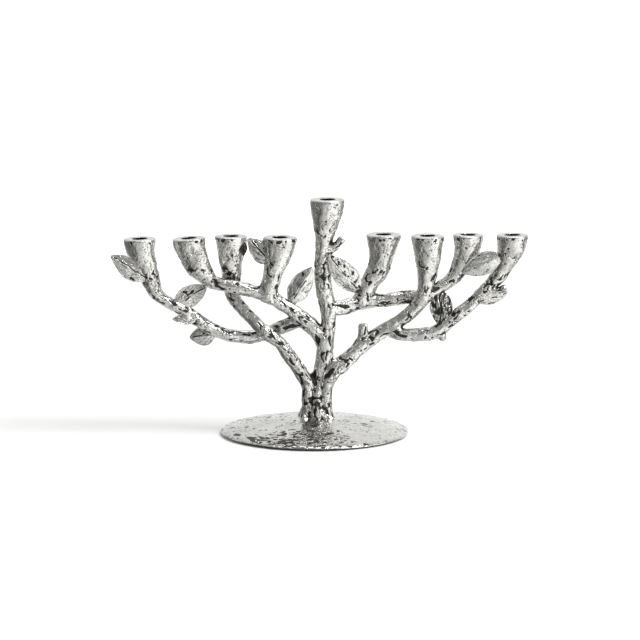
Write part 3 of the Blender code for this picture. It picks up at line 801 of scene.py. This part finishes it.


# Leaves: base on the casting, tip, width, the way the blade faces and its bow, then its surface and shade: the veins
# on each side, how far the two halves fold back, how dark one half is painted in blotches, partly stains and partly
# painted shade (below zero for the other half), and the painted shade that darkens the whole leaf where it lies in
# shadow
LEAVES = {
    "leaf_cup_1": ((-141, -5, 135), (-173, -6, 156), 19, (0.15, -1, 0.1), 2, (3, 0.22, -0.25, 0.0)),
    "leaf_left_arch": ((-119.5, -3.5, 110), (-92, -9, 129.5), 19, (-0.2, -1, -0.25), -3, (4, 0.2, -0.75, 0.0)),
    "leaf_left_bud": ((-100, -3, 100), (-121, -6, 101), 10, (0, -1, 0.5), 1, (2, 0.2, 0.3, 0.1)),
    "leaf_left_low": ((-84, 4, 86), (-106, 6, 83), 17, (0, -1, 0.1), 2, (3, 0.14, 0.3, 0.0)),
    "leaf_cup_3": ((-61, 2, 166), (-60.5, -2, 154), 7, (0.2, -1, -0.3), 0.5, (2, 0.2, 0.5, 0.6)),
    "leaf_cup_4": ((-36, -3, 147.5), (-56.5, 0, 168.5), 18.5, (0.1, -1, -0.1), 1, (3, 0.16, 0.5, 0.15)),
    "leaf_left_trunk": ((-21, -5, 112.5), (-2.5, -6, 144.5), 19, (-0.05, -1, 0), 2, (3, 0.4, -0.7, 0.0)),
    "leaf_right_trunk": ((38, 2, 121.5), (11.5, -9, 155), 21, (0.0, -1, -0.1), 2, (3, 0.2, 0.9, 0.0)),
    "leaf_cup_7": ((158, -11, 153.5), (125, -5, 138), 20, (-0.05, -1, -0.1), 3, (1, 0.3, 0.4, 0.0)),
    "leaf_right_outer": ((138, -6, 113), (165, -2, 120.5), 12, (0.2, -1, -0.2), 1, (1, 0.1, 0.3, 0.0)),
    "leaf_right_hanging": ((109, 0, 121), (106, -9, 93.5), 19.5, (-0.1, -1, -0.3), 1, (8, 0.12, 0.9, 0.3)),
}


LEAF_ROWS, LEAF_COLUMNS = 120, 60


def blade_width(along):
    """Half the blade's width, as a share of its widest."""
    blade = np.sin(np.pi * np.clip(along * 0.96 + 0.02, 0, 1) ** 0.86) ** 0.85
    return np.maximum(blade, np.where(along < 0.5, 0.14, 0.03))


def sheet_quads(rows, columns):
    """The faces of a front and a back sheet of rows by columns, and of the four edges between them."""
    row = columns + 1
    size = (rows + 1) * row
    down, over = np.arange(rows) * row, np.arange(columns)
    a = (down[:, None] + over).ravel()
    quads = [np.stack([a, a + 1, a + row + 1, a + row], axis=1)]
    quads.append(np.stack([a, a + row, a + row + 1, a + 1], axis=1) + size)
    for a, step, turn in ((down, row, 1), (down + columns, row, -1), (over, 1, -1), (rows * row + over, 1, 1)):
        quads.append(np.stack([a, a + step, a + step + size, a + size], axis=1)[:, ::turn])
    return np.vstack(quads)


def make_leaf(name, base, tip, width, facing, bow, surface_and_shade, metal, seed):
    """A blade with a midrib and side veins, closed round a thickness that thins to the edge."""
    veins, fold, half_stain_and_shade, leaf_painted_shade = surface_and_shade
    rows, columns = LEAF_ROWS, LEAF_COLUMNS
    base, tip = np.array(base, float), np.array(tip, float)
    length = np.linalg.norm(tip - base)
    along = (tip - base) / length
    normal = np.array(facing, float)
    normal -= normal @ along * along
    normal /= np.linalg.norm(normal)
    across = np.cross(along, normal)
    t, s = np.meshgrid(np.linspace(0, 1, rows + 1), np.linspace(-1, 1, columns + 1), indexing="ij")
    wide = blade_width(t) * width / 2
    flat = np.stack([t.ravel() * length, (s * wide).ravel(), np.full(t.size, seed * 31.0)], axis=1)

    def texture(stretch, size, shift):
        return noise(flat * stretch, size, seed + shift).reshape(t.shape)

    wave = min(1, width / 19) * texture([1, 1, 1], 9, 0.0)
    middle_way = np.sin(np.pi * t)
    edge = wide * (1 + 0.06 * texture([1, 0, 1], 7, 5.0))
    bend = np.sqrt((s * wide) ** 2 + 1.2) - 1.1
    lift = bow * middle_way - fold * bend + (0.8 * wave + 0.3 * texture([0.6, 1, 1], 4.5, 2.0)) * middle_way
    lift += 0.5 * ramp(np.abs(s), 0.82, 1.0) * middle_way
    off_rib = np.abs(s * wide - 0.8 * (wave + 0.3) * middle_way)
    shown = ramp(t, 0.0, 0.12) * fall(t, 0.85, 1.0)
    rib = peak(off_rib, 0.5) * shown * ramp(texture([1, 0, 1], 6, 4.0), -0.5, 0.1)
    lane = np.abs(s) * veins * 0.8 - t * veins * 1.3 + 0.5 * wave
    vein = np.abs((lane % 1.0) - 0.5) * 2
    vein = ramp(vein, 0.72, 1.0) * ramp(off_rib, 0.6, 1.8) * fall(np.abs(s), 0.8, 0.97)
    vein *= ramp(texture([1, 1, 1], 5, 6.0), -0.45, 0.2)
    ripple = texture([0.3, 1, 1], 1.7, 3.0)
    # One half is painted dark in blotches: partly stains, partly painted shade of that half
    level = 0.62 - 0.45 * abs(half_stain_and_shade)
    half = ramp(s * math.copysign(1, half_stain_and_shade), -0.05, 0.2)
    half_stain_and_shade_blot = ramp(texture([0.6, 1, 1], 2.8, 9.0), level, level + 0.14) * half * fall(np.abs(s), 0.8, 0.95)
    grooved = float(ramp(veins, 4, 8))  # a leaf with many veins is deeply grooved as well
    carved = -0.5 * rib - 0.42 * vein + (0.2 + 0.3 * grooved) * ripple
    carved = carved * (1 - 0.5 * ramp(np.abs(s), 0.85, 1.0)) - 0.4 * half_stain_and_shade_blot
    thick = 0.8 * np.sqrt(np.clip(1 - s**2 * 0.75, 0, 1)) + 0.05
    middle = base + t[..., None] * (tip - base) + across * (s * edge)[..., None] + normal * lift[..., None]
    front = middle + normal * (thick + carved)[..., None]
    back = middle - normal * (thick + 0.5 * carved)[..., None]
    points = np.vstack([front.reshape(-1, 3), back.reshape(-1, 3)])
    # The leaf's dark: oxidised metal along the rib, veins and grooves, the half's blotches, and a flat painted shade
    # for a leaf in shadow
    leaf_oxide_and_shade = 0.9 * rib + 0.45 * vein + 0.9 * half_stain_and_shade_blot + 0.25 * np.maximum(0, -ripple) + leaf_painted_shade
    leaf_oxide_and_shade += 0.55 * grooved * ramp(-ripple, 0.0, 0.25)
    leaf_oxide_and_shade = np.clip(np.maximum(leaf_oxide_and_shade, 0.7 * fall(t, 0.0, 0.16)), 0, 1)
    oxide_and_shade = np.concatenate([leaf_oxide_and_shade.ravel(), 0.7 * leaf_oxide_and_shade.ravel()])
    mesh = make_mesh(name, points, [sheet_quads(rows, columns)], None, oxide_and_shade)
    add_piece(f"{name}_blade", mesh, metal, name)


def base_height(radius):
    """The plate's upper face: a low cone that rounds over towards its rim."""
    out = np.clip((radius - BASE_SEAT_RADIUS) / (BASE_RADIUS - BASE_SEAT_RADIUS), 0, 1)
    height = BASE_RIM_Z + (BASE_SEAT_Z - BASE_RIM_Z) * (1 - out**1.25)
    return height - 0.8 * ramp(radius, BASE_RADIUS - 3.5, BASE_RADIUS) ** 2


PLATE_POINTS = 600  # in each ring of the plate


def make_plate(metal):
    """The hammered plate, closed underneath."""
    around = PLATE_POINTS
    radii = [np.linspace(0.5, 12, 8), np.linspace(12.7, 72, 125), np.linspace(72.4, BASE_RADIUS - 0.3, 20)]
    radii = np.concatenate(radii)
    angle = np.arange(around) * 2 * math.pi / around
    r, a = np.meshgrid(radii, angle, indexing="ij")
    ring = np.stack([np.cos(angle), np.sin(angle), np.zeros(around)], axis=1)
    uneven = 0.35 * noise(ring * 80, 22, 2.5) + 0.15 * noise(ring * 80, 7, 6.5) - 0.25
    r = r + uneven[None, :] * (r / BASE_RADIUS) ** 3
    x, y = r * np.cos(a), r * np.sin(a)
    flat = np.stack([x.ravel(), y.ravel(), np.zeros(x.size)], axis=1)
    near, _ = cells(flat, 8.5, 3.3)
    dents = 0.3 * (near * near - 0.35)
    small, _ = cells(flat, 3.8, 9.1)
    dents += 0.16 * (small * small - 0.35)
    # The front edge, left of the middle, is rough and pitted. The rest has a few scars
    rough = peak(flat[:, 0] + 22, 40) * ramp(-flat[:, 1], 30, 62)
    scar = np.abs(noise(flat, 9, 8.8))
    scar = fall(scar, 0.03, 0.13) * ramp(noise(flat, 13, 3.9), 0.4, 0.5)
    polar = np.stack([r.ravel(), 30 * a.ravel(), np.zeros(x.size)], axis=1)
    fleck = ramp(noise(polar, 2.2, 5.0), 0.3 - 0.25 * rough, 0.38 - 0.2 * rough) * ramp(rough, 0.1, 0.3)
    fleck = np.maximum(fleck, ramp(noise(flat, 5, 1.6), 0.5, 0.6))
    # Painted reflection of the trunk: the metal in front of it is painted dark, with ragged sides
    front_y = -flat[:, 1]
    aside = np.abs(flat[:, 0] + 1.4 + 0.065 * front_y) + 2.2 * noise(flat, 5, 18.0) + 1.2 * noise(flat, 2.4, 19.0)
    trunk_painted_reflection = fall(aside, 5, 6.8) * ramp(front_y, 10, 26) * fall(front_y, 70, 77)
    trunk_painted_reflection *= np.clip(0.43 + 0.3 * noise(flat, 4.5, 21.0), 0, 1)
    cloud = 0.32 * ramp(noise(flat * [1, 0.5, 1], 13, 23.0), -0.3, 0.5) * fall(flat[:, 0], -15, 20)
    fine = noise(flat, 4.2, 4.4)
    for mark_x, mark_y, length, width in PLATE_MARKS:
        away = math.hypot(mark_x, mark_y)
        outward = ((flat[:, 0] - mark_x) * mark_x + (flat[:, 1] - mark_y) * mark_y) / away
        sideways = ((flat[:, 0] - mark_x) * mark_y - (flat[:, 1] - mark_y) * mark_x) / away
        outward = outward + 1.2 * noise(flat, 5, 14.0)
        mark = np.exp(-((outward / width) ** 2) - (sideways / length) ** 2)
        scar = np.maximum(scar, ramp(mark, 0.3, 0.6))
    push = dents + 0.3 * noise(flat, 16, 1.1) + (0.1 + 0.4 * rough) * fine - 0.35 * scar - 0.3 * fleck
    push *= 1 - 0.6 * ramp(r.ravel(), 77, 80)
    top_z = base_height(r.ravel()) + push
    # The plate's dark: oxidised scars, flecks, dents and clouds, and the painted reflection of the trunk
    oxide_and_shade = np.maximum(0.9 * scar + 0.8 * fleck + 0.2 * np.maximum(0, -push) + cloud, trunk_painted_reflection)
    oxide_and_shade = np.clip(oxide_and_shade, 0, 1)
    top = np.stack([x.ravel(), y.ravel(), top_z], axis=1)
    rim = r[-1]
    edge_z = top_z.reshape(r.shape)[-1]
    # Round the rim and in again underneath, as radius and height
    under = [
        (rim + 0.25, edge_z - 0.35), (rim + 0.3, edge_z - 0.75), (rim + 0.05, BASE_UNDER_Z + 0.05),
        (rim - 0.8, BASE_UNDER_Z), (63, BASE_UNDER_Z), (60, BASE_UNDER_Z + 1.5), (14, HUB_Z), (3.4, HUB_Z),
    ]
    rings = [top]
    # Painted shadow on the rim's rounded edge and side: dark along the left and front, as the shade in the gap under
    # the plate
    shade = 0.75 * ramp(-np.cos(angle) - 0.4 * np.sin(angle), -0.35, 0.5)
    edge_painted_shadow = [0.3 * shade, shade, shade, *[np.zeros(around)] * (len(under) - 3)]
    for radius, z in under:
        radius = np.minimum(radius, BASE_RADIUS)
        rings.append(np.stack([radius * np.cos(angle), radius * np.sin(angle), z + 0 * angle], axis=1))
    points = np.vstack(rings)
    count = len(points) // around
    i, j = np.meshgrid(np.arange(count - 1), np.arange(around), indexing="ij")
    j2 = (j + 1) % around
    quads = np.stack([i * around + j, (i + 1) * around + j, (i + 1) * around + j2, i * around + j2], axis=-1)
    quads = quads.reshape(-1, 4)
    last = (count - 1) * around
    hubs = np.array([[0, 0, BASE_SEAT_Z], [0, 0, HUB_Z]])
    j = np.arange(around)
    fans = np.vstack([
        np.stack([j, (j + 1) % around, np.full(around, len(points))], axis=1),
        np.stack([last + (j + 1) % around, last + j, np.full(around, len(points) + 1)], axis=1),
    ])
    points = np.vstack([points, hubs])
    oxide_and_shade = np.concatenate([oxide_and_shade, *edge_painted_shadow, np.zeros(len(hubs))])
    mesh = make_mesh("base_plate", points, [quads, fans], None, oxide_and_shade)
    add_piece("base_plate_hammered", mesh, metal, "base_plate")


# Materials

class Shading:
    """Short ways to add the nodes of a material or a world. A value is a number, a colour or a node's output."""

    def __init__(self, owner):
        owner.use_nodes = True
        self.nodes, self.links = owner.node_tree.nodes, owner.node_tree.links

    def put(self, value, socket):
        if isinstance(value, bpy.types.NodeSocket):
            self.links.new(value, socket)
        else:
            socket.default_value = (*value, 1) if isinstance(value, tuple) else value

    def add(self, kind, inputs=None, **settings):
        """A new node, with its inputs given by name or number."""
        node = self.nodes.new(kind)
        for name, value in settings.items():
            setattr(node, name, value)
        for name, value in (inputs or {}).items():
            self.put(value, node.inputs[name])
        return node

    def surface(self, inputs):
        for name, value in inputs.items():
            self.put(value, self.nodes["Principled BSDF"].inputs[name])

    def noise(self, scale, **inputs):
        place = self.add("ShaderNodeTexCoord").outputs["Object"]
        return self.add("ShaderNodeTexNoise", {"Vector": place, "Scale": scale, **inputs}).outputs["Fac"]

    def spread(self, value, low, high, out_low=0.0, out_high=1.0):
        inputs = {"Value": value, "From Min": low, "From Max": high, "To Min": out_low, "To Max": out_high}
        return self.add("ShaderNodeMapRange", inputs).outputs["Result"]

    def maths(self, kind, a, b):
        return self.add("ShaderNodeMath", {0: a, 1: b}, operation=kind).outputs["Value"]

    def blend(self, factor, a, b):
        """A mix of two colours."""
        return self.add("ShaderNodeMix", {"Factor": factor, 6: a, 7: b}, data_type="RGBA").outputs[2]

    def colours(self, value, stops):
        """A colour ramp through stops, each a position and a colour."""
        node = self.add("ShaderNodeValToRGB", {"Fac": value})
        places = node.color_ramp.elements
        for position, _ in stops[1:-1]:
            places.new(position)
        for place, (position, colour) in zip(places, stops):
            place.position, place.color = position, (*colour, 1)
        return node.outputs["Color"]

    def bump(self, height, strength, distance):
        inputs = {"Height": height, "Strength": strength, "Distance": distance}
        return self.add("ShaderNodeBump", inputs).outputs["Normal"]


def new_material(name):
    material = bpy.data.materials.new(name)
    return material, Shading(material)


def nickel(name, bright, dark, roughness, grain):
    """Polished nickel, dark where it is oxidised in its hollows and where shade is painted. grain is the size of its
    fine marks, in millimetres.
    """
    material, tree = new_material(name)
    oxide_and_shade = tree.add("ShaderNodeAttribute", attribute_name="oxide_and_shade").outputs["Fac"]

    def marks(size, detail=3.0):
        return tree.noise(1000 / (grain * size), Detail=detail, Roughness=0.55)

    def scaled(value, factor):
        return tree.maths("MULTIPLY", value, factor)

    ragged = tree.maths("ADD", oxide_and_shade, scaled(tree.maths("SUBTRACT", marks(2.2), 0.5), 0.55))
    speck = scaled(tree.spread(marks(1.5, 2.0), 0.58, 0.65), tree.spread(marks(9), 0.42, 0.56))
    # The dark share: oxidised hollows and specks, and the painted shade and painted reflection that the point
    # attribute carries
    oxide_and_shade_mix = tree.maths("MAXIMUM", tree.spread(ragged, 0.33, 0.6), scaled(speck, 0.85))
    tone = tree.blend(tree.spread(marks(12), 0.35, 0.65), bright, tuple(c * 0.8 for c in bright))
    smooth = tree.spread(marks(5), 0.3, 0.7, roughness * 0.75, roughness * 1.35)
    height = tree.maths("ADD", marks(2.6), scaled(marks(1.2, 2.0), 0.4))
    height = scaled(height, tree.spread(marks(14), 0.35, 0.65, 0.25, 1.0))
    tree.surface({
        "Metallic": 1.0,
        "Base Color": tree.blend(oxide_and_shade_mix, tone, dark),
        "Roughness": tree.maths("ADD", smooth, scaled(oxide_and_shade_mix, 0.28)),
        "Normal": tree.bump(tree.maths("SUBTRACT", height, scaled(oxide_and_shade_mix, 0.5)), 1.0, 0.0005),
    })
    return material


def plain_steel():
    """Zinc-plated steel for the screw and washer."""
    material, tree = new_material("zinc_plate")
    grain = tree.noise(900)
    tree.surface({
        "Metallic": 1.0,
        "Base Color": tree.colours(grain, [(0, (0.42, 0.43, 0.42)), (1, (0.62, 0.62, 0.58))]),
        "Roughness": tree.spread(grain, 0, 1, 0.3, 0.5),
    })
    return material


def felt_cloth():
    """Pressed black felt: matted fibres with a little sheen."""
    material, tree = new_material("felt")
    fibre = tree.noise(1600, Detail=5, Distortion=2.5)
    tree.surface({
        "Sheen Weight": 0.4,
        "Roughness": 0.95,
        "Base Color": tree.colours(fibre, [(0, (0.01, 0.01, 0.011)), (1, (0.045, 0.045, 0.05))]),
        "Normal": tree.bump(fibre, 0.8, 0.0004),
    })
    return material


# Studio

def make_floor():
    """A white floor that fills the picture and that the metal doesn't mirror."""
    half, drop = 0.85, 0.0004
    mesh = bpy.data.meshes.new("floor")
    corners = [(x * half, y * half, -drop) for x, y in ((-1, -1), (1, -1), (1, 1), (-1, 1))]
    mesh.from_pydata(corners, [], [(0, 1, 2, 3)])
    obj = link_object("floor", mesh)
    material, tree = new_material("floor")
    tree.surface({"Base Color": (0.9, 0.9, 0.9), "Roughness": 0.9})
    mesh.materials.append(material)
    obj.visible_glossy = False


def area_light(name, place, aim, size, power):
    light = bpy.data.lights.new(name, "AREA")
    light.shape = "RECTANGLE"
    light.size = light.size_y = size
    light.energy = power
    obj = link_object(name, light)
    obj.location = place
    obj.rotation_euler = (Vector(aim) - Vector(place)).to_track_quat("-Z", "Y").to_euler()
    obj.visible_camera = False


def make_world():
    """A studio for the metal to mirror: dim on the left, bright on the right, and dark gaps at both sides.

    The camera itself sees plain white. Each level's brightness runs round the horizon, and the levels blend into
    one another on the way up.
    """
    world = bpy.data.worlds.new("studio")
    bpy.context.scene.world = world
    tree = Shading(world)
    direction = tree.add("ShaderNodeTexCoord").outputs["Generated"]
    x, y, z = tree.add("ShaderNodeSeparateXYZ", {"Vector": direction}).outputs
    share = tree.spread(tree.maths("ARCTAN2", x, tree.maths("MULTIPLY", y, -1)), -math.pi, math.pi)

    def grey(value, blue=1.0):
        level = value / SKY_STRENGTH
        return level, level, level * blue

    def ring(stops):
        return tree.colours(share, [((180 + angle) / 360, grey(value, 0.985)) for angle, value in stops])

    def rise(start, end, below, above):
        return tree.blend(tree.spread(z, start, end), below, above)

    sky = rise(-0.88, -0.7, grey(GROUND_SKY), ring(LOW_SKY))
    sky = rise(-0.03, 0.1, sky, ring(MIDDLE_SKY))
    sky = rise(0.12, 0.34, sky, ring(HIGH_SKY))
    sky = rise(0.93, 0.99, sky, grey(TOP_SKY))
    seen = tree.add("ShaderNodeLightPath").outputs["Is Camera Ray"]
    background = tree.nodes["Background"].inputs
    tree.put(tree.blend(seen, sky, (1, 1, 1)), background["Color"])
    tree.put(SKY_STRENGTH, background["Strength"])


def make_camera():
    """Ten degrees above the object, a little to its left, from far enough to flatten the perspective."""
    distance, azimuth, elevation, width = 5.0, math.radians(-3.7), math.radians(10), 0.544
    aim = Vector((0.0046, 0, 0.0977))
    flat = math.cos(elevation)
    back = Vector((math.sin(azimuth) * flat, -math.cos(azimuth) * flat, math.sin(elevation)))
    data = bpy.data.cameras.new("camera")
    data.sensor_width = 36
    data.lens = data.sensor_width * distance / width
    data.clip_end = 50
    obj = link_object("camera", data)
    obj.location = aim + back * distance
    obj.rotation_euler = (-back).to_track_quat("-Z", "Y").to_euler()
    bpy.context.scene.camera = obj


def main():
    metal = nickel("polished_nickel", (0.68, 0.675, 0.65), (0.05, 0.049, 0.046), 0.13, 1.0)
    leaf_metal = nickel("leaf_nickel", (0.66, 0.655, 0.635), (0.05, 0.049, 0.046), 0.16, 0.9)
    plate_metal = nickel("plate_nickel", (0.68, 0.675, 0.655), (0.06, 0.059, 0.055), 0.12, 1.3)
    make_castings(metal)
    for seed, (name, shape) in enumerate(LEAVES.items()):
        make_leaf(name, *shape, leaf_metal, seed)
    make_plate(plate_metal)
    steel, felt = plain_steel(), felt_cloth()
    for name, material in (("base_screw", steel), ("screw_washer", steel), ("felt_disc", felt)):
        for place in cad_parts[name].material_slots:
            place.material = material
    make_floor()
    make_world()
    area_light("key", (1.5, -0.6, 1.9), (0, 0, 0.1), 1.1, 46)
    area_light("top", (0.2, 0.6, 2.4), (0, 0, 0.1), 1.6, 11)
    make_camera()
    bpy.context.scene.view_settings.view_transform = "Standard"


main()
